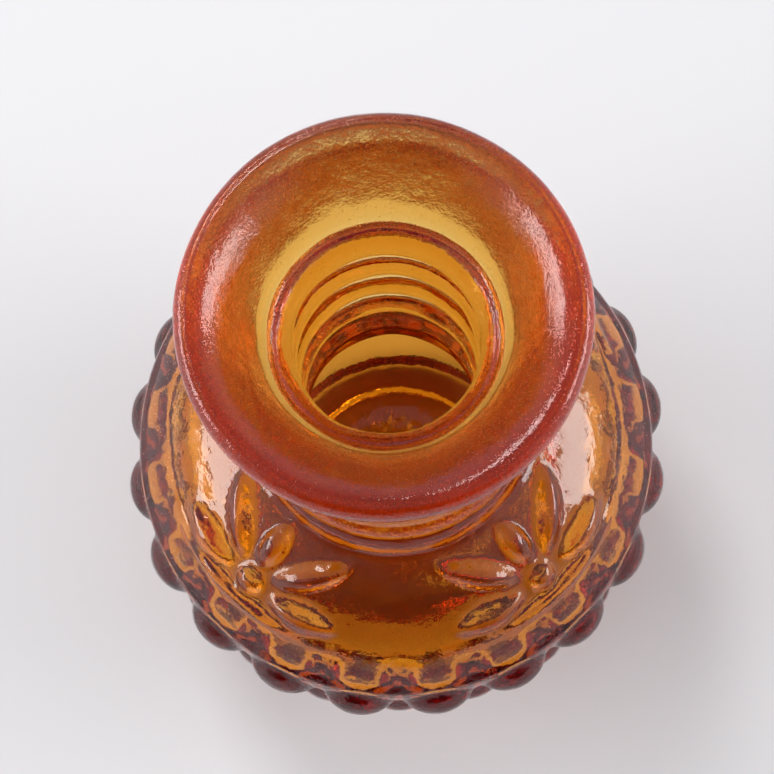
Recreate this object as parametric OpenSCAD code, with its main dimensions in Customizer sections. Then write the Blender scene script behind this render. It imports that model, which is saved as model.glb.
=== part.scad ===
// Moulded glass bud vase with daisies, bead rows and a ringed neck.
// Millimetres. +Z is up and the origin is the centre of the foot's resting face.
// The real vase is one casting: each node is a zone of the wall or a group of
// reliefs standing on it, and the zones meet face to face.

/* [Overall] */
// Height from the foot to the top of the lip
height = 120; // [118:1:126]
// Outer radius of the lip
mouth_r = 27; // [26:0.5:29]
// Radius of the smooth wall at its widest
belly_r = 41.2; // [41:0.1:42]
// Height of the widest line above the foot
belly_z = 40; // [38:0.5:42]

/* [Lip and flare] */
// Radius of the lip's crest
crest_r = 25; // [24.5:0.1:25.4]
// Half the height of the lip's rolled edge
lip_roll = 2.8; // [2.2:0.1:3.2]
// Inner radius of the throat, where the flare ends
throat_r = 15.7; // [15:0.1:16.5]
// Depth of the throat below the lip
throat_depth = 13.2; // [12:0.2:14]
// Form of the flare's inside, from 1 for a quarter of an ellipse to 2 for a straight cone
flare_power = 1.4; // [1:0.1:1.8]
// Radius at the foot of the cone outside the flare
flare_foot_r = 20; // [19.5:0.1:20.4]
// Depth of that foot below the lip
flare_foot_depth = 16.4; // [16:0.1:17]
// Depth below the lip at which the neck's plain tube ends
flare_depth = 18; // [17.6:0.1:18.4]

/* [Neck] */
// Outer radius of the neck between its rings
neck_r = 16.4; // [16:0.1:17]
// Mean inner radius of the neck
neck_in_r = 13.2; // [12.8:0.1:13.6]
// Height of the soft waves that the rings leave in the bore
bore_wave = 0.75; // [0.3:0.05:0.8]
// Number of rings round the neck
ring_count = 4; // [2:1:4]
// Height of the lowest ring
ring_z = 69; // [69:0.1:69.5]
// Distance from ring to ring
ring_pitch = 9.6; // [9:0.1:9.8]
// How far a ring stands out of the neck
ring_out = 4.5; // [4:0.1:4.8]
// Half the height of a ring
ring_half = 3.2; // [2.5:0.1:3.4]
// Outer radius of the collar at the foot of the neck
collar_r = 21.6; // [21:0.1:22]

/* [Body wall] */
// Rise of the shoulder above the widest line if it ran on to the axis
shoulder_rise = 26.8; // [26:0.1:27.5]
// Form of the shoulder, 2 for half an ellipse and less for a flatter slope
shoulder_power = 1.55; // [1.4:0.05:1.8]
// Drop of the lower body's curve if it ran on to the axis
lower_drop = 44.8; // [44:0.1:46]
// Wall thickness at the widest line
wall = 5.8; // [5:0.1:6.4]
// Rise of the dome's inside above the widest line
inner_rise = 16.5; // [15.5:0.1:17]
// Drop of the inside's curve below the widest line if it ran on to the axis
inner_drop = 34.5; // [34:0.1:36]
// Height of the water floor above the resting face
floor_z = 8; // [7.5:0.1:8.5]

/* [Foot] */
// Height of the straight foot
foot_h = 4; // [3.5:0.1:4.5]
// Inner radius of the ring that the vase stands on
foot_in_r = 19; // [17:0.5:20]
// Depth of the hollow inside the foot's ring
foot_hollow = 1.4; // [1:0.1:1.8]
// Number of grooves in the star under the foot
star_rays = 24; // [16:4:24]
// Depth of each groove
star_depth = 0.4; // [0.3:0.1:0.9]

/* [Beads] */
// Beads in each row
bead_count = 20; // [20:1:20]
// Half the length of a bead round the widest line, in proportion on a smaller circle
bead_half = 6.4; // [6:0.1:6.4]
// Radius of a bead's round section
bead_r = 5.2; // [5:0.1:5.4]
// How far a bead stands out of the wall
bead_out = 2.8; // [2.2:0.1:3]
// Half the length of the dent inside the wall behind each upper bead
dent_half = 5.2; // [4.8:0.1:5.3]
// Radius of that dent's round section
dent_r = 3.5; // [3:0.1:3.6]
// Height of the upper row
upper_bead_z = 36.2; // [35.5:0.1:36.5]
// Height of the lower row
lower_bead_z = 25.2; // [24.5:0.1:25.5]
// How far the thin rib above the beads stands out
girdle_out = 0.6; // [0.4:0.1:0.8]

/* [Daisies] */
// Azimuth of the first daisy, the other three mirroring it in X and in Y
daisy_azimuth = 47; // [44:1:48]
// Distance of a daisy's centre from the axis
daisy_r = 32.7; // [32.5:0.1:33.2]
// Distance from a daisy's centre to the inner end of a petal
petal_start = 2.9; // [2.8:0.1:4]
// Distance from a daisy's centre to the tip of a side petal
petal_tip = 17; // [15:0.1:17.5]
// Distance from a daisy's centre to the tip of the petal that points at the neck
top_petal_tip = 12.4; // [11:0.1:12.6]
// Radius of a petal's round section at its middle
petal_r = 2.4; // [2.2:0.1:3]
// How far a petal's centreline is sunk below the wall
petal_sink = 0.5; // [0.4:0.1:0.8]
// Radius of a daisy's button
button_r = 2.6; // [2.4:0.1:2.8]

/* [Hidden] */
$fn = 96;
arc_step = 7.5;                               // degrees between points of a round outline
lip_mid = [crest_r, height - lip_roll];
flare_z = height - flare_depth;               // bottom of the flare, top of the neck tube and of the bore
throat_z = height - throat_depth;
shoulder_bend = 2 / shoulder_power;
shoulder_top_z = dome_z(collar_r);
bore_low_z = belly_z + inner_rise * 0.92;     // where the bore opens into the body
heel_z = 17;                                  // bottom of the belly wall
inner_r = belly_r - wall;
foot_r = belly_r * sqrt(1 - pow((belly_z - foot_h) / lower_drop, 2));
floor_r = inner_r * sqrt(1 - pow((belly_z - floor_z) / inner_drop, 2));
foot_bevel = 0.8;
star_half = 1.2;                              // half the width of a groove at the resting face
star_in_r = 5;                                // where the star's grooves start and end
star_out_r = foot_in_r - 2;
arc_r = 35.9;                                 // distance of the ridge under a daisy from the axis, at its middle
arc_sweep = 38;                               // half the ridge's angle about its own centre
arc_bend = 30;                                // radius that the ridge is bent to
arc_round = 1.1;                              // radius of its round section
arc_z = dome_z(arc_r);
bead_step = 360 / bead_count;
daisy_z = dome_z(daisy_r);
daisy_azimuths = [daisy_azimuth, 180 - daisy_azimuth, 180 + daisy_azimuth, -daisy_azimuth];
petal_angles = [-4, 42, 90, 138, 184];        // 90 points up the shoulder
relief_fn = 32;

// Outer radius of the body's wall at height z.
function dome_r(z) =
    z > belly_z ? belly_r * pow(1 - pow((z - belly_z) / shoulder_rise, shoulder_power), 1 / shoulder_power)
                : belly_r * sqrt(1 - pow((belly_z - z) / lower_drop, 2));
// Height of the shoulder's wall at radius r.
function dome_z(r) = belly_z + shoulder_rise * pow(1 - pow(r / belly_r, shoulder_power), 1 / shoulder_power);
// Inner radius of the body's wall at height z.
function hollow_r(z) = inner_r * sqrt(1 - pow((z - belly_z) / (z > belly_z ? inner_rise : inner_drop), 2));
// Inner radius of the neck at height z, with one soft wave for each ring.
function bore_r(z) = neck_in_r + bore_wave * cos(360 * (z - ring_z) / ring_pitch);
// Heights from a to b in n equal steps.
function levels(a, b, n) = [for (i = [0:n]) a + (b - a) * i / n];
// Points of the outer and the inner wall between two heights, bottom first.
function dome_line(a, b, n) = [for (z = levels(a, b, n)) [dome_r(z), z]];
function hollow_line(a, b, n) = [for (z = levels(a, b, n)) [hollow_r(z), z]];
function reversed(v) = [for (i = [len(v) - 1:-1:0]) v[i]];
belly_line = dome_line(heel_z, belly_z, 8);
shoulder_line = dome_line(belly_z, shoulder_top_z, 8);
wall_line = concat(belly_line, [for (i = [1:len(shoulder_line) - 1]) shoulder_line[i]]);
// Outward normal of the wall below the widest line at height z, as [radial, up].
function wall_normal(z) =
    let (n = [dome_r(z) / pow(belly_r, 2), (z - belly_z) / pow(lower_drop, 2)]) n / norm(n);
// The shoulder's outline runs through an angle t from 0 at the widest line to 90 on the axis.
function dome_angle(r) = acos(pow(r / belly_r, 1 / shoulder_bend));
function round_r(t) = belly_r * pow(cos(t), shoulder_bend);
function dome_point(t, a) =
    [round_r(t) * cos(a), round_r(t) * sin(a), belly_z + shoulder_rise * pow(sin(t), shoulder_bend)];
// Unit normal of the shoulder at that place.
function dome_normal(t, a) =
    let (out = pow(cos(t), 2 - shoulder_bend) / belly_r,
         n = [out * cos(a), out * sin(a), pow(sin(t), 2 - shoulder_bend) / shoulder_rise])
    n / norm(n);
// Millimetres of outline for each degree of that angle.
function dome_scale(t) =
    shoulder_bend * PI / 180 * norm([belly_r * pow(cos(t), shoulder_bend - 1) * sin(t),
                                     shoulder_rise * pow(sin(t), shoulder_bend - 1) * cos(t)]);
// Point at distance d and direction w from a daisy's centre at azimuth a, sunk by s.
function daisy_point(a, d, w, s) =
    let (t0 = dome_angle(daisy_r), t = t0 + d * sin(w) / dome_scale(t0 + d * sin(w) / 2),
         az = a - d * cos(w) / round_r((t + t0) / 2) * 180 / PI)
    dome_point(t, az) - s * dome_normal(t, az);

// Solid body inside the outer wall, to trim a relief that lies between two heights to the wall.
module core(low, high) {
    near = [for (p = wall_line) if (p[1] > low && p[1] < high) p];
    rotate(180)
        rotate_extrude() polygon(concat([[0, near[0][1]]], near, [[0, near[len(near) - 1][1]]]));
}

// Turns and moves its children so that +Z runs from p towards q.
module along(p, q) {
    d = q - p;
    translate((p + q) / 2) rotate([0, acos(d[2] / norm(d)), atan2(d[1], d[0])]) children();
}

// Almond of a given length with a pointed end each way, its outline an arc.
module almond(length, r, steps = 8) {
    big = (length * length / 4 + r * r) / (2 * r);
    rotate_extrude($fn = relief_fn)
        polygon(concat([[0, -length / 2]],
                       [for (i = [1:steps - 1]) let (z = length * (i / steps - 0.5))
                           [sqrt(big * big - z * z) - big + r, z]],
                       [[0, length / 2]]));
}

// Long bead, an ellipse turned about its own long axis.
module ellipse_bead(half, r, steps = 8) {
    rotate_extrude($fn = relief_fn)
        polygon([for (i = [0:steps]) let (s = 180 * i / steps) [r * sin(s), -half * cos(s)]]);
}

module lip() {
    color("darkgoldenrod")
        rotate_extrude()
            polygon([for (s = [-90:arc_step:90]) lip_mid + [(mouth_r - crest_r) * cos(s), lip_roll * sin(s)]]);
}

module mouth_flare() {
    w = crest_r - throat_r;
    inside = [for (s = [0:arc_step:90])
        [crest_r - w * pow(sin(s), flare_power), height - throat_depth * (1 - pow(cos(s), flare_power))]];
    step = [for (s = [15:15:90]) [bore_r(flare_z) + (throat_r - bore_r(flare_z)) * (1 - sin(s)),
                                  throat_z - (throat_z - flare_z) * (1 - cos(s))]];
    color("goldenrod")
        rotate_extrude()
            polygon(concat(inside, step, [[neck_r, flare_z], [flare_foot_r, height - flare_foot_depth],
                                          [crest_r, height - 2 * lip_roll]]));
}

module neck_tube() {
    bore = [for (z = levels(bore_low_z, flare_z, 40)) [bore_r(z), z]];
    color("darkgoldenrod")
        rotate_extrude()
            polygon(concat(bore, [[neck_r, flare_z], [neck_r, shoulder_top_z], [neck_r, bore_low_z]]));
}

module neck_rings() {
    color("sienna")
        for (i = [0:ring_count - 1])
            translate([0, 0, ring_z + i * ring_pitch])
                rotate_extrude()
                    polygon([for (s = [-90:15:90]) [neck_r + ring_out * cos(s), ring_half * sin(s)]]);
}

module neck_collar() {
    high = ring_z - ring_half - shoulder_top_z;
    color("saddlebrown")
        rotate_extrude()
            polygon(concat([[neck_r, shoulder_top_z]],
                           [for (s = [0:arc_step:90])
                               [neck_r + (collar_r - neck_r) * cos(s), shoulder_top_z + high * sin(s)]]));
}

module shoulder() {
    inside = [for (s = [0:arc_step / 1.5:60]) let (z = belly_z + inner_rise * sin(s)) [hollow_r(z), z]];
    color("peru")
        rotate_extrude()
            polygon(concat(shoulder_line, [[neck_r, shoulder_top_z], [neck_r, bore_low_z], [bore_r(bore_low_z), bore_low_z]],
                           reversed([for (p = inside) if (p[1] < bore_low_z - 0.2) p])));
}

module daisy_petals() {
    color("chocolate")
        for (a = daisy_azimuths, w = petal_angles) {
            p = daisy_point(a, petal_start, w, petal_sink);
            q = daisy_point(a, w == 90 ? top_petal_tip : petal_tip, w, petal_sink);
            difference() {
                along(p, q) almond(norm(q - p), petal_r * (w == 90 ? 0.9 : 1));
                core(min(p[2], q[2]) - 7, max(p[2], q[2]) + 7);
            }
        }
}

module daisy_buttons() {
    color("orange")
        for (a = daisy_azimuths)
            difference() {
                translate(daisy_point(a, 0, 0, button_r * 0.4)) sphere(r = button_r);
                core(daisy_z - 2 * button_r, daisy_z + 2 * button_r);
            }
}

// Low rounded ridge that runs under each daisy, its ends tapering into the wall.
module daisy_ground_arcs() {
    color("sienna")
        for (a = daisy_azimuths)
            rotate(a)
                difference() {
                    translate([arc_r - arc_bend, 0, arc_z])
                        rotate([0, 0, -arc_sweep])
                            rotate_extrude(angle = 2 * arc_sweep)
                                translate([arc_bend, 0]) circle(r = arc_round, $fn = relief_fn);
                    core(arc_z - 8, arc_z + 8);
                }
}

// Half-round rib on one straight stretch of the wall's outline, at the bottom of the shoulder.
module girdle_rib() {
    run = shoulder_line[1] - shoulder_line[0];
    way = run / norm(run);
    out = [way[1], -way[0]];
    middle = shoulder_line[1] - girdle_out * way;
    color("gold")
        rotate_extrude()
            polygon([for (s = [0:15:180]) middle - girdle_out * cos(s) * way + girdle_out * sin(s) * out]);
}

module belly_wall() {
    color("peru")
        difference() {
            rotate_extrude() polygon(concat(belly_line, reversed(hollow_line(heel_z, belly_z, 8))));
            for (i = [0.5:bead_count - 0.5])
                rotate(i * bead_step)
                    translate([hollow_r(upper_bead_z) - 0.3, 0, upper_bead_z])
                        rotate([90, 0, 0]) ellipse_bead(dent_half, dent_r);
        }
}

// Row of long beads lying round the wall at height z, the first one at azimuth a.
module bead_row(z, a) {
    n = wall_normal(z);
    centre = [dome_r(z), z] - (bead_r - bead_out) * n;
    half = bead_half * dome_r(z) / belly_r;
    for (i = [0:bead_count - 1])
        rotate(a + i * bead_step)
            difference() {
                translate([centre[0], 0, centre[1]]) rotate([90, 0, 0]) ellipse_bead(half, bead_r);
                core(z - bead_r - 3, z + bead_r + 3);
            }
}

module upper_beads() {
    color("firebrick") bead_row(upper_bead_z, bead_step / 2);
}

module lower_beads() {
    color("brown") bead_row(lower_bead_z, 0);
}

module heel() {
    color("saddlebrown")
        rotate_extrude() polygon(concat(dome_line(foot_h, heel_z, 9), reversed(hollow_line(floor_z, heel_z, 9))));
}

module foot_and_floor() {
    color("darkgoldenrod")
        difference() {
            rotate_extrude()
                polygon([[0, foot_hollow], [foot_in_r - foot_hollow, foot_hollow], [foot_in_r, 0],
                         [foot_r - foot_bevel, 0], [foot_r, foot_bevel], [foot_r, foot_h],
                         [floor_r, floor_z], [0, floor_z]]);
            for (i = [0:star_rays - 1])
                rotate(i * 360 / star_rays)
                    translate([star_in_r, 0, foot_hollow])
                        rotate([90, 0, 90])
                            linear_extrude(star_out_r - star_in_r)
                                polygon([[-star_half, -foot_hollow], [star_half, -foot_hollow], [0, star_depth]]);
        }
}

lip();
mouth_flare();
neck_tube();
neck_rings();
neck_collar();
shoulder();
daisy_petals();
daisy_buttons();
daisy_ground_arcs();
girdle_rib();
belly_wall();
upper_beads();
lower_beads();
heel();
foot_and_floor();
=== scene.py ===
"""Amber glass bud vase on a pale table: one hollow casting with a rolled lip, ringed neck, raised daisies
on its shoulder and two rows of long beads round its belly.

The glass is one closed surface, a profile turned round the axis with the reliefs lifted off it.
"""
import math

import bpy
import numpy as np
from mathutils import Matrix, Vector


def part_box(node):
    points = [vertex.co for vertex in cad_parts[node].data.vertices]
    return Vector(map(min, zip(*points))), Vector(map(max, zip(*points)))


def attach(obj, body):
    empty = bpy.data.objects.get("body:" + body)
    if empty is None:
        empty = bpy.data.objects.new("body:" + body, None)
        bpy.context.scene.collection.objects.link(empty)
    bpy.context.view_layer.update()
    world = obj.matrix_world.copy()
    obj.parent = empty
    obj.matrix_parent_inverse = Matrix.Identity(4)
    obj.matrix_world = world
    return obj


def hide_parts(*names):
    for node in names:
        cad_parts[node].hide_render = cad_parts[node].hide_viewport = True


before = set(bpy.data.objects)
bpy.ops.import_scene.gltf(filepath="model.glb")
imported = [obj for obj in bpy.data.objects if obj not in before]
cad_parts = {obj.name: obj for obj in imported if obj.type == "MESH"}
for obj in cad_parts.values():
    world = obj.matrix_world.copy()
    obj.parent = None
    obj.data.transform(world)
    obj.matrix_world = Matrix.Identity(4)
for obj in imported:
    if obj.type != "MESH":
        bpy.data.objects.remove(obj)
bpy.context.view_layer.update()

MM = 0.001

# ---------------------------------------------------------------- sizes in millimetres, from the frame
high = {name: [float(v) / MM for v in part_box(name)[1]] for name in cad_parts}
low = {name: [float(v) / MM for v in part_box(name)[0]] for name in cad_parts}

HEIGHT = high["lip"][2]
MOUTH_R = high["lip"][0]
LIP_ROLL = (HEIGHT - low["lip"][2]) / 2
BELLY_R = high["belly_wall"][0]
BELLY_Z = high["belly_wall"][2]
COLLAR_R = high["neck_collar"][0]
COLLAR_Z = low["neck_collar"][2]
NECK_R = high["neck_tube"][0]
FLARE_Z = high["neck_tube"][2]
FOOT_H = low["heel"][2]
FLOOR_Z = high["foot_and_floor"][2]
FOOT_R = high["foot_and_floor"][0]
BORE_LOW_Z = low["neck_tube"][2]

CREST_R = 25.0                  # top of the rolled lip
FLARE_FOOT_R = 20.0             # the flare's outside is a cone that ends in a small step above the neck
FLARE_FOOT_Z = HEIGHT - 16.4
FLARE_POWER = 1.4               # the flare's inside lies between a quarter ellipse (1) and a cone (2)
THROAT_R = 15.7                 # where the flare ends and the bore begins
THROAT_Z = HEIGHT - 13.2
BORE_R = 13.2                   # mean radius of the bore
BORE_WAVE = 0.75                # height of the waves in the bore, one behind each ring
RINGS = 4
RING_Z = 69.0                   # lowest ring, and the step up to the next
RING_PITCH = 9.6
RING_OUT = 4.5
RING_HALF = 3.2
COLLAR_HIGH = 5.5
SHOULDER_POWER = 1.55           # form of the shoulder, 2 for half an ellipse and less for a flatter slope
SHOULDER_SHARE = (1 - (COLLAR_R / BELLY_R) ** SHOULDER_POWER) ** (1 / SHOULDER_POWER)
SHOULDER_RISE = (COLLAR_Z - BELLY_Z) / SHOULDER_SHARE
LOWER_DROP = (BELLY_Z - FOOT_H) / math.sqrt(1 - (FOOT_R / BELLY_R) ** 2)
INNER_R = BELLY_R - 5.8         # inside of the body
INNER_RISE = 16.5
INNER_DROP = 34.5
OUTER = (BELLY_R, SHOULDER_RISE, LOWER_DROP, SHOULDER_POWER)
INNER = (INNER_R, INNER_RISE, INNER_DROP, 2)
FOOT_HOLLOW = 1.4               # the foot stands on a ring, and its middle is hollowed by this
FOOT_IN_R = 19.0
FOOT_BEVEL = 0.8
WATER_FLOOR_R = 12.0            # flat middle of the water floor

# Reliefs
BEADS = 20
BEAD_STEP = 2 * np.pi / BEADS
BEAD_HALF = 6.4
BEAD_R = 5.2
BEAD_OUT = 2.7
DENT_HALF = 5.2
DENT_R = 3.5
DENT_SINK = 0.3
UPPER_BEAD_Z = 36.2
LOWER_BEAD_Z = 25.2
GIRDLE_Z = 42.6
GIRDLE_OUT = 0.6
DAISY_AZIMUTHS = np.radians([47, 133, 227, 313])
DAISY_R = 32.7
PETALS = [(-4, 17.0, 2.4), (42, 17.0, 2.4), (90, 12.4, 2.2), (138, 17.0, 2.4), (184, 17.0, 2.4)]
PETAL_START = 2.9
PETAL_SINK = 0.5
BUTTON_R = 2.6
RIDGE_R = 35.9                  # the ridge under a daisy, at its middle
RIDGE_ROUND = 1.1
RIDGE_REACH = math.radians(30)
STAR_RAYS = 24
STAR_DEPTH = 0.4
STAR_HALF = 0.9                 # half the width of a groove
STAR_FROM, STAR_TO, STAR_FADE = 5, 17, 1.5

# How far each relief's edge is rounded into the wall
BEAD_SOFT = 0.35
DAISY_SOFT = 0.3
GIRDLE_SOFT = 0.15

# The mesh
ROWS, COLUMNS = 218, 440
BLUR = 0.3                      # every corner of the outline is softened by this
FINE_FROM, FINE_TO = 19.0, 43.5     # the rows lie closest between these heights, where the beads are

# ---------------------------------------------------------------- the profile


def arc(centre, radii, start, end, count):
    """Part of an ellipse: centre + radii * (cos a, sin a), a running from start to end degrees."""
    a = np.radians(np.linspace(start, end, count))
    return np.stack([centre[0] + radii[0] * np.cos(a), centre[1] + radii[1] * np.sin(a)], 1)


def dome(z, radius, rise, drop, power):
    """Radius of the body at height z: R (1 - t^p)^(1/p), t running from 0 at the widest line to 1 on the
    axis, with the given p above that line and 2 below it."""
    above = z > BELLY_Z
    t = np.abs(z - BELLY_Z) / np.where(above, rise, drop)
    p = np.where(above, power, 2)
    return radius * np.maximum(1 - t ** p, 0) ** (1 / p)


def dome_run(a, b, wall, count):
    """Stretch of the outer or inner outline from height a to height b."""
    z = np.linspace(a, b, count)
    return np.stack([dome(z, *wall), z], 1)


def shoulder_z(r):
    """Height of the shoulder at radius r."""
    return BELLY_Z + SHOULDER_RISE * (1 - (r / BELLY_R) ** SHOULDER_POWER) ** (1 / SHOULDER_POWER)


def ringed_neck(z):
    """Outer radius of the neck: the plain tube, with a half-ellipse standing out of it at each ring."""
    centres = RING_Z + RING_PITCH * np.arange(RINGS)
    reach = ((z[:, None] - centres[None, :]) / RING_HALF) ** 2
    return NECK_R + RING_OUT * np.sqrt(np.maximum(1 - reach, 0)).max(1)


def wavy_bore(z):
    """Inner radius of the neck: a mean radius with one soft cosine wave for each ring."""
    return BORE_R + BORE_WAVE * np.cos(2 * np.pi * (z - RING_Z) / RING_PITCH)


def profile():
    """The section's outline from the middle of the underside, up the outside, over the lip and down the
    inside to the middle of the water floor, as points (radius, height), and how finely each is divided."""
    roll = (CREST_R, HEIGHT - LIP_ROLL)
    neck_z = np.linspace(COLLAR_Z + COLLAR_HIGH, FLARE_Z, 400)
    bore_z = np.linspace(FLARE_Z, BORE_LOW_Z + 1.5, 300)
    step_in = wavy_bore(FLARE_Z) - THROAT_R
    pieces = [
        (np.stack([np.linspace(0, FOOT_IN_R - FOOT_HOLLOW, 60), np.full(60, FOOT_HOLLOW)], 1), 0.55),
        (arc((FOOT_IN_R - FOOT_HOLLOW, 0), (FOOT_HOLLOW, FOOT_HOLLOW), 90, 0, 12), 1.0),
        (np.stack([np.linspace(FOOT_IN_R + 0.3, FOOT_R - FOOT_BEVEL, 12), np.zeros(12)], 1), 0.6),
        (arc((FOOT_R - FOOT_BEVEL, FOOT_BEVEL), (FOOT_BEVEL, FOOT_BEVEL), -90, 0, 8), 1.2),
        (dome_run(FOOT_H, FINE_FROM, OUTER, 80), 0.6),
        (dome_run(FINE_FROM + 0.1, FINE_TO, OUTER, 200), 1.7),
        (dome_run(FINE_TO + 0.1, COLLAR_Z, OUTER, 200), 1.35),
        (arc((NECK_R, COLLAR_Z), (COLLAR_R - NECK_R, COLLAR_HIGH), 0, 80, 40), 1.2),
        (np.stack([ringed_neck(neck_z), neck_z], 1), 0.8),
        (flare_outside(), 0.8),
        (arc(roll, (MOUTH_R - CREST_R, LIP_ROLL), -88, 90, 60), 1.3),
        (flare_inside(), 0.9),
        (arc((THROAT_R, FLARE_Z), (step_in, THROAT_Z - FLARE_Z), 90, 0, 20), 1.4),
        (np.stack([wavy_bore(bore_z), bore_z], 1), 0.75),
        (dome_run(BORE_LOW_Z - 1.0, FLOOR_Z + 1.5, INNER, 300), 0.42),
        (np.stack([np.linspace(WATER_FLOOR_R, 0, 40), np.full(40, FLOOR_Z)], 1), 0.5),
    ]
    line = np.concatenate([points for points, _ in pieces])
    fine = np.concatenate([np.full(len(points), weight) for points, weight in pieces])
    return line, fine


def flare_outside():
    """A straight cone from the step above the neck up to the lip's rolled edge."""
    share = np.linspace(0, 1, 60)
    foot = np.array([FLARE_FOOT_R, FLARE_FOOT_Z])
    top = np.array([CREST_R + 0.4, HEIGHT - 2 * LIP_ROLL])
    return foot + share[:, None] * (top - foot)


def flare_inside():
    """The mouth from the crest down to the throat: w sin(a)^p inwards and h (1 - cos(a)^p) down."""
    a = np.radians(np.linspace(1, 89, 60))
    inwards = (CREST_R - THROAT_R) * np.sin(a) ** FLARE_POWER
    down = (HEIGHT - THROAT_Z) * (1 - np.cos(a) ** FLARE_POWER)
    return np.stack([CREST_R - inwards, HEIGHT - down], 1)


def smooth_run(line, fine):
    """The outline softened by a bell curve, then divided into rows that lie closer where fine is high, as
    radius, height, the outward normal's two parts and the distance run along the outline."""
    length = np.concatenate([[0], np.cumsum(np.hypot(*np.diff(line, axis=0).T))])
    pitch = 0.05
    even = np.arange(0, length[-1], pitch)
    r, z, w = (np.interp(even, length, v) for v in (line[:, 0], line[:, 1], fine))
    reach = int(4 * BLUR / pitch)
    bell = np.exp(-0.5 * (np.arange(-reach, reach + 1) * pitch / BLUR) ** 2)
    bell /= bell.sum()

    def soften(v, through_axis):
        before, after = v[reach:0:-1], v[-2:-reach - 2:-1]
        if through_axis:
            before, after = 2 * v[0] - before, 2 * v[-1] - after
        return np.convolve(np.concatenate([before, v, after]), bell, "valid")

    r, z, w = soften(r, True), soften(z, False), soften(w, False)
    share = np.concatenate([[0], np.cumsum((w[1:] + w[:-1]) / 2)])
    at = np.interp(np.linspace(0, share[-1], ROWS + 2)[1:-1], share, even)
    r_at, z_at = np.interp(at, even, r), np.interp(at, even, z)
    dr, dz = np.gradient(r, pitch), np.gradient(z, pitch)
    dr, dz = np.interp(at, even, dr), np.interp(at, even, dz)
    norm = np.hypot(dr, dz)
    return r_at, z_at, dz / norm, -dr / norm, at


# ---------------------------------------------------------------- reliefs, in millimetres above the wall


def raised(height, soft):
    """Almost zero below the wall and h above it, with the corner between them rounded by soft:
    (h + sqrt(h^2 + s^2)) / 2 - s^2 / (4 (|h| + s))."""
    return (height + np.sqrt(height ** 2 + soft ** 2)) / 2 - soft ** 2 / (4 * (np.abs(height) + soft))


def cap(radius_sq, across, sink):
    """Height over the wall of a round section sunk into it, falling on outside it:
    sqrt(radius^2 - across^2) - sink, with the sign of what is under the root kept."""
    inside = radius_sq - across ** 2
    return np.sign(inside) * np.sqrt(np.abs(inside)) - sink


def bead_row(azimuth, up, row_r, first):
    """Ellipsoids along the circumference: sqrt(r^2 (1 - (u / half)^2) - v^2) - sink, u round and v up."""
    u = row_r * ((azimuth - first + BEAD_STEP / 2) % BEAD_STEP - BEAD_STEP / 2)
    half = BEAD_HALF * row_r / BELLY_R
    return cap(BEAD_R ** 2 * (1 - (u / half) ** 2), up, BEAD_R - BEAD_OUT)


def daisy(round_way, up):
    """Five almonds round a button: each a lens-shaped spindle lying along its own direction outward."""
    height = cap(BUTTON_R ** 2 - round_way ** 2, up, BUTTON_R * 0.4)
    for direction, tip, radius in PETALS:
        c, s = math.cos(math.radians(direction)), math.sin(math.radians(direction))
        along = round_way * c + up * s - (PETAL_START + tip) / 2
        across = up * c - round_way * s
        half = (tip - PETAL_START) / 2
        big = (half ** 2 + radius ** 2) / (2 * radius)
        spindle = np.sqrt(np.maximum(big ** 2 - along ** 2, 0)) - big + radius
        height = np.maximum(height, cap(spindle * np.abs(spindle), across, PETAL_SINK))
    return height


def reliefs(azimuth, r, z, run, outside):
    """How far every point of the grid stands above the plain wall."""
    def run_at(height):
        rows = np.where(outside)[0]
        return np.interp(height, z[rows], run[rows])

    zone = outside & (z > 5) & (z < COLLAR_Z)
    up = run[:, None]
    height = np.zeros((len(r), len(azimuth)))
    for middle_z, first in ((UPPER_BEAD_Z, BEAD_STEP / 2), (LOWER_BEAD_Z, 0)):
        beads = bead_row(azimuth[None, :], up - run_at(middle_z), dome(middle_z, *OUTER), first)
        height += raised(beads, BEAD_SOFT)
    height += raised(cap(GIRDLE_OUT ** 2, up - run_at(GIRDLE_Z), 0), GIRDLE_SOFT)
    daisy_z, ridge_z = shoulder_z(DAISY_R), shoulder_z(RIDGE_R)
    for middle in DAISY_AZIMUTHS:
        turn = (azimuth - middle + np.pi) % (2 * np.pi) - np.pi
        height += raised(daisy(-(r[:, None] * turn[None, :]), up - run_at(daisy_z)), DAISY_SOFT)
        fall = RIDGE_ROUND * (turn[None, :] / RIDGE_REACH) ** 2
        height += raised(cap(RIDGE_ROUND ** 2, up - run_at(ridge_z), 0) - fall, DAISY_SOFT)
    return height * zone[:, None]


def dents(azimuth, z):
    """Depth of the hollow inside the wall behind each upper bead, a sunk ellipsoid like the bead itself."""
    u = INNER_R * (azimuth % BEAD_STEP - BEAD_STEP / 2)[None, :]
    up = (z - UPPER_BEAD_Z)[:, None]
    return raised(cap(DENT_R ** 2 * (1 - (u / DENT_HALF) ** 2), up, DENT_SINK), BEAD_SOFT)


def star(azimuth, r):
    """Grooves under the foot: V-shaped, deepest on each ray's middle line, fading out at both ends."""
    step = 2 * np.pi / STAR_RAYS
    off = np.abs((azimuth[None, :] + step / 2) % step - step / 2) * r[:, None]
    ends = np.clip((r - STAR_FROM) / STAR_FADE, 0, 1) * np.clip((STAR_TO - r) / STAR_FADE, 0, 1)
    return STAR_DEPTH * np.clip(1 - off / STAR_HALF, 0, 1) * ends[:, None]


def hand_waves(azimuth, run):
    """Slow unevenness of hot glass: a few crossing sine waves round and along the wall, in mm."""
    rng = np.random.default_rng(7)
    total = np.zeros((len(run), len(azimuth)))
    for _ in range(14):
        turns, pitch = rng.integers(1, 9), rng.uniform(9, 40)
        phase, size = rng.uniform(0, 2 * np.pi), rng.uniform(0.01, 0.035)
        total += size * np.sin(turns * azimuth[None, :] + 2 * np.pi * run[:, None] / pitch + phase)
    return total


# ---------------------------------------------------------------- meshes


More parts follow.
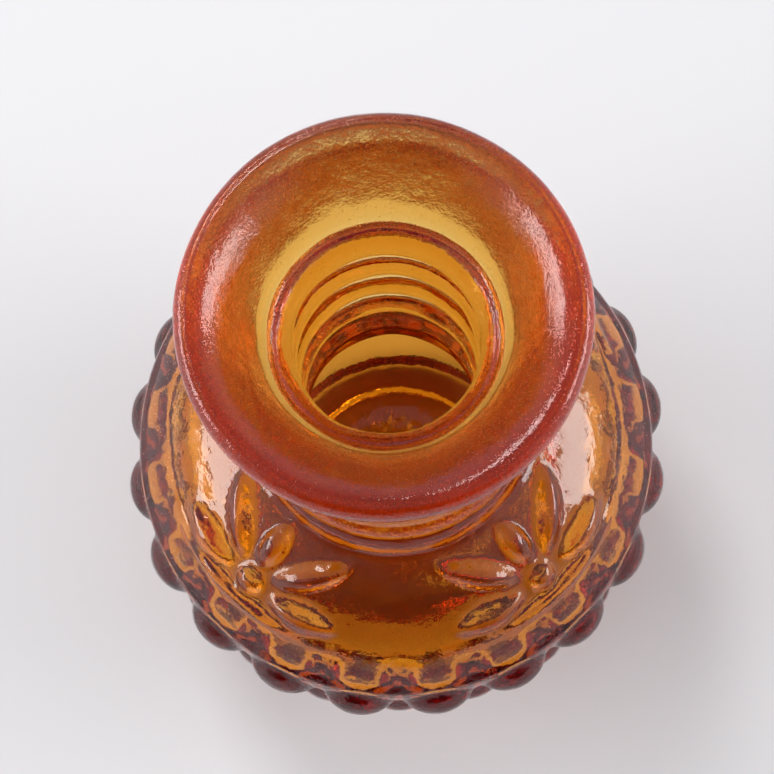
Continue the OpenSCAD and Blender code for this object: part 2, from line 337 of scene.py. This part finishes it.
def closed_grid(name, points, start, end):
    """A mesh from a grid that closes on itself round the axis, with a pole at each end."""
    rows, cols = points.shape[:2]
    verts = np.concatenate([points.reshape(-1, 3), [start, end]])
    i, j = np.meshgrid(np.arange(rows - 1), np.arange(cols), indexing="ij")
    k = (j + 1) % cols
    corners = [i * cols + j, i * cols + k, (i + 1) * cols + k, (i + 1) * cols + j]
    quads = np.stack(corners, -1).reshape(-1, 4)
    ring = np.arange(cols)
    after = (ring + 1) % cols
    last = (rows - 1) * cols
    first_fan = np.stack([np.full(cols, rows * cols), after, ring], 1)
    last_fan = np.stack([np.full(cols, rows * cols + 1), last + ring, last + after], 1)
    mesh = bpy.data.meshes.new(name)
    mesh.from_pydata(verts.tolist(), [], quads.tolist() + first_fan.tolist() + last_fan.tolist())
    mesh.polygons.foreach_set("use_smooth", np.ones(len(mesh.polygons), dtype=bool))
    mesh.update()
    piece = bpy.data.objects.new(name, mesh)
    bpy.context.scene.collection.objects.link(piece)
    return piece


def glass_vase():
    """The whole casting: profile, reliefs, dents, the star under the foot and the glass's slow waves."""
    r, z, nr, nz, run = smooth_run(*profile())
    azimuth = np.linspace(0, 2 * np.pi, COLUMNS, endpoint=False)
    outside = np.arange(ROWS) <= int(np.argmax(z))
    lift = reliefs(azimuth, r, z, run, outside)
    under = outside & (z < FOOT_HOLLOW + 0.2) & (r < FOOT_IN_R)
    lift -= star(azimuth, r) * under[:, None] + dents(azimuth, z) * ~outside[:, None]
    # The waves grow from nothing at the axis and the foot; outside they only ever thin the wall.
    share = np.clip((r - 2) / 8, 0, 1) * np.clip((z - 6) / 8, 0, 1)
    waves = hand_waves(azimuth, run) * share[:, None]
    lift += np.where(outside[:, None], -np.abs(waves) * 0.6, waves)
    radius = r[:, None] + nr[:, None] * lift
    height = z[:, None] + nz[:, None] * lift
    points = np.stack([radius * np.cos(azimuth), radius * np.sin(azimuth), height], -1) * MM
    return closed_grid("vase_glass", points, (0, 0, FOOT_HOLLOW * MM), (0, 0, FLOOR_Z * MM))


# ---------------------------------------------------------------- materials

# What a metre of this glass takes out of the light: density * (1 - colour), for red, green and blue.
ABSORPTION_DENSITY = 380
ABSORPTION_COLOUR = (0.935, 0.70, 0.03, 1)
REFRACTION = 1.51

# The frosting in millimetres: where it starts and how far it takes to be full, and the line round the crest
FROST_Z, FROST_RISE = THROAT_Z - 2, 5
LINE_R, LINE_HALF, LINE_Z = CREST_R + 0.3, 0.35, HEIGHT - 0.6


def calculator(nodes, links):
    """Gives a function that adds a Math node whose inputs are numbers or other nodes' outputs."""
    def calc(operation, *values, clamp=False):
        node = nodes.new("ShaderNodeMath")
        node.operation = operation
        node.use_clamp = clamp
        for socket, value in zip(node.inputs, values):
            if isinstance(value, (int, float)):
                socket.default_value = value
            else:
                links.new(value, socket)
        return node.outputs[0]

    return calc


def noise(nodes, links, where, scale, detail=2.0):
    """Noise on the given coordinates, scale in waves a metre."""
    node = nodes.new("ShaderNodeTexNoise")
    node.inputs["Scale"].default_value = scale
    node.inputs["Detail"].default_value = detail
    links.new(where, node.inputs["Vector"])
    return node.outputs["Fac"]


def blown_surface_group():
    """The skin of moulded glass: slow ripples, pits that open where Frost is high, and specks of dust."""
    group = bpy.data.node_groups.new("blown_surface", "ShaderNodeTree")
    group.interface.new_socket("Vector", in_out="INPUT", socket_type="NodeSocketVector")
    for name in ("Frost", "Clear Roughness"):
        group.interface.new_socket(name, in_out="INPUT", socket_type="NodeSocketFloat")
    for name in ("Height", "Roughness", "Dust"):
        group.interface.new_socket(name, in_out="OUTPUT", socket_type="NodeSocketFloat")
    nodes, links = group.nodes, group.links
    given, made = nodes.new("NodeGroupInput"), nodes.new("NodeGroupOutput")
    where, frost, clear = (given.outputs[name] for name in ("Vector", "Frost", "Clear Roughness"))
    calc = calculator(nodes, links)

    ripple = noise(nodes, links, where, 110, 2)
    wrinkle = noise(nodes, links, where, 420, 3)
    pits = calc("MULTIPLY", noise(nodes, links, where, 2600, 3), frost)
    low_part = calc("MULTIPLY_ADD", wrinkle, 0.5, ripple)
    links.new(calc("MULTIPLY_ADD", pits, 0.24, low_part), made.inputs["Height"])
    specks = noise(nodes, links, where, 3400, 1)
    drift = noise(nodes, links, where, 160, 2)
    level = calc("MULTIPLY_ADD", drift, -0.30, 0.82)
    thick = calc("MULTIPLY", calc("SUBTRACT", specks, level), 14, clamp=True)
    dust = calc("MULTIPLY", thick, calc("MULTIPLY_ADD", frost, 0.7, 0.3))
    links.new(dust, made.inputs["Dust"])
    cloud = calc("MULTIPLY", frost, calc("MULTIPLY_ADD", drift, 0.05, 0.01))
    rough = calc("MAXIMUM", calc("ADD", clear, cloud), calc("MULTIPLY", dust, 0.8))
    links.new(rough, made.inputs["Roughness"])
    return group


def glass_material(surface):
    """Clear glass whose colour comes from its thickness: yellow where thin, red-brown where thick.

    The lip and the flare are a little frosted by the tool that shaped them, with a pitted line round the
    crest.
    """
    mat = bpy.data.materials.new("amber_glass")
    mat.use_nodes = True
    nodes, links = mat.node_tree.nodes, mat.node_tree.links
    calc = calculator(nodes, links)

    shader = nodes["Principled BSDF"]
    shader.inputs["Transmission Weight"].default_value = 1
    shader.inputs["IOR"].default_value = REFRACTION
    depth = nodes.new("ShaderNodeVolumeAbsorption")
    depth.inputs["Color"].default_value = ABSORPTION_COLOUR
    depth.inputs["Density"].default_value = ABSORPTION_DENSITY
    links.new(depth.outputs[0], nodes["Material Output"].inputs["Volume"])

    where = nodes.new("ShaderNodeTexCoord").outputs["Object"]
    split = nodes.new("ShaderNodeSeparateXYZ")
    links.new(where, split.inputs[0])
    x, y, z = split.outputs
    radius = calc("SQRT", calc("ADD", calc("MULTIPLY", x, x), calc("MULTIPLY", y, y)))
    mouth = calc("MULTIPLY", calc("SUBTRACT", z, FROST_Z * MM), 1 / (FROST_RISE * MM), clamp=True)
    off_line = calc("ABSOLUTE", calc("SUBTRACT", radius, LINE_R * MM))
    on_line = calc("SUBTRACT", 1, calc("MULTIPLY", off_line, 1 / (LINE_HALF * MM)), clamp=True)
    line = calc("MULTIPLY", on_line, calc("GREATER_THAN", z, LINE_Z * MM))

    skin = nodes.new("ShaderNodeGroup")
    skin.node_tree = surface
    links.new(where, skin.inputs["Vector"])
    frost = calc("MULTIPLY_ADD", mouth, 0.75, calc("MULTIPLY_ADD", line, 1.2, 0.12))
    links.new(frost, skin.inputs["Frost"])
    skin.inputs["Clear Roughness"].default_value = 0.012
    links.new(skin.outputs["Roughness"], shader.inputs["Roughness"])

    tint = nodes.new("ShaderNodeMix")
    tint.data_type = "RGBA"
    tint.inputs["A"].default_value = (1, 1, 1, 1)
    tint.inputs["B"].default_value = (0.55, 0.50, 0.46, 1)
    links.new(skin.outputs["Dust"], tint.inputs["Factor"])
    links.new(tint.outputs["Result"], shader.inputs["Base Color"])

    bump = nodes.new("ShaderNodeBump")
    bump.inputs["Strength"].default_value = 0.5
    bump.inputs["Distance"].default_value = 0.0005
    links.new(calc("MULTIPLY_ADD", line, -0.5, skin.outputs["Height"]), bump.inputs["Height"])
    links.new(bump.outputs["Normal"], shader.inputs["Normal"])
    return mat


def table_material():
    """A matt, pale grey top."""
    mat = bpy.data.materials.new("pale_table")
    mat.use_nodes = True
    shader = mat.node_tree.nodes["Principled BSDF"]
    shader.inputs["Base Color"].default_value = (0.80, 0.79, 0.80, 1)
    shader.inputs["Roughness"].default_value = 0.6
    return mat


# ---------------------------------------------------------------- the vase

vase = glass_vase()
vase.data.materials.append(glass_material(blown_surface_group()))
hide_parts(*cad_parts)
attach(vase, "root")

# ---------------------------------------------------------------- table, light and camera


def table():
    """A flat square under the vase."""
    mesh = bpy.data.meshes.new("table")
    side = 1.5                  # half the square's side, in metres
    corners = [(-side, -side, 0), (side, -side, 0), (side, side, 0), (-side, side, 0)]
    mesh.from_pydata(corners, [], [(0, 1, 2, 3)])
    piece = bpy.data.objects.new("table", mesh)
    bpy.context.scene.collection.objects.link(piece)
    piece.data.materials.append(table_material())


def soft_light(name, place, size, power):
    """A soft box, size wide and high in metres, that looks at the middle of the vase."""
    lamp = bpy.data.lights.new(name, "AREA")
    lamp.shape = "RECTANGLE"
    lamp.size, lamp.size_y = size
    lamp.energy = power
    holder = bpy.data.objects.new(name, lamp)
    bpy.context.scene.collection.objects.link(holder)
    holder.location = place
    aim = Vector((0, 0, 0.06)) - holder.location
    holder.rotation_euler = aim.to_track_quat("-Z", "Y").to_euler()


def camera():
    """Looks steeply down on the vase, from a place given by a turn, a tilt, a roll and its way from the
    middle of the lip."""
    turn, tilt, roll = (math.radians(v) for v in (5.05, 76.28, 5.73))
    aside, below, away = 0.019, 0.37, 10.434    # from the lip's middle, in radii of the lip
    level_right = Vector((1, 0, 0))
    level_up = Vector((0, math.sin(tilt), math.cos(tilt)))
    back = Vector((0, -math.cos(tilt), math.sin(tilt)))
    right = math.cos(roll) * level_right - math.sin(roll) * level_up
    up = math.sin(roll) * level_right + math.cos(roll) * level_up
    place = Vector((0, 0, HEIGHT * MM)) + MOUTH_R * MM * (aside * right - below * up + away * back)
    spin = Matrix.Rotation(turn, 4, "Z")
    matrix = Matrix((right, up, back)).transposed().to_4x4()
    matrix.translation = place
    lens = bpy.data.cameras.new("camera")
    lens.sensor_width = 36
    lens.lens = 103.7
    holder = bpy.data.objects.new("camera", lens)
    bpy.context.scene.collection.objects.link(holder)
    holder.matrix_world = spin @ matrix
    bpy.context.scene.camera = holder


def studio(bright=0.85, ceiling=0.45, dark=0.05):
    """A pale room all round under a dimmer ceiling, dark only low down in front of the table."""
    world = bpy.data.worlds.new("studio")
    bpy.context.scene.world = world
    world.use_nodes = True
    nodes, links = world.node_tree.nodes, world.node_tree.links
    split = nodes.new("ShaderNodeSeparateXYZ")
    links.new(nodes.new("ShaderNodeTexCoord").outputs["Generated"], split.inputs[0])

    def fade(axis, start, end, low, high):
        """Goes smoothly from low to high while the direction's part along that axis runs start to end."""
        node = nodes.new("ShaderNodeMapRange")
        node.interpolation_type = "SMOOTHSTEP"
        for name, value in (("From Min", start), ("From Max", end), ("To Min", low), ("To Max", high)):
            node.inputs[name].default_value = value
        links.new(split.outputs[axis], node.inputs["Value"])
        return node.outputs[0]

    calc = calculator(nodes, links)
    strength = calc("MULTIPLY", fade("Y", -0.9, -0.4, dark, 1), fade("Z", 0.45, 0.9, bright, ceiling))
    links.new(strength, nodes["Background"].inputs["Strength"])
    nodes["Background"].inputs["Color"].default_value = (0.93, 0.95, 1.0, 1)


table()
soft_light("key", (-0.5, 0.9, 1.3), (0.5, 0.5), 8)
soft_light("left window", (-1.2, 0.0, 0.45), (1.0, 0.4), 10)
soft_light("right window", (1.2, 0.05, 0.45), (0.8, 0.4), 8)
camera()
studio()

view = bpy.context.scene.view_settings
view.view_transform = "Standard"
cycles = bpy.context.scene.cycles
cycles.max_bounces = 24
cycles.transmission_bounces = 24
cycles.glossy_bounces = 12
cycles.diffuse_bounces = 6
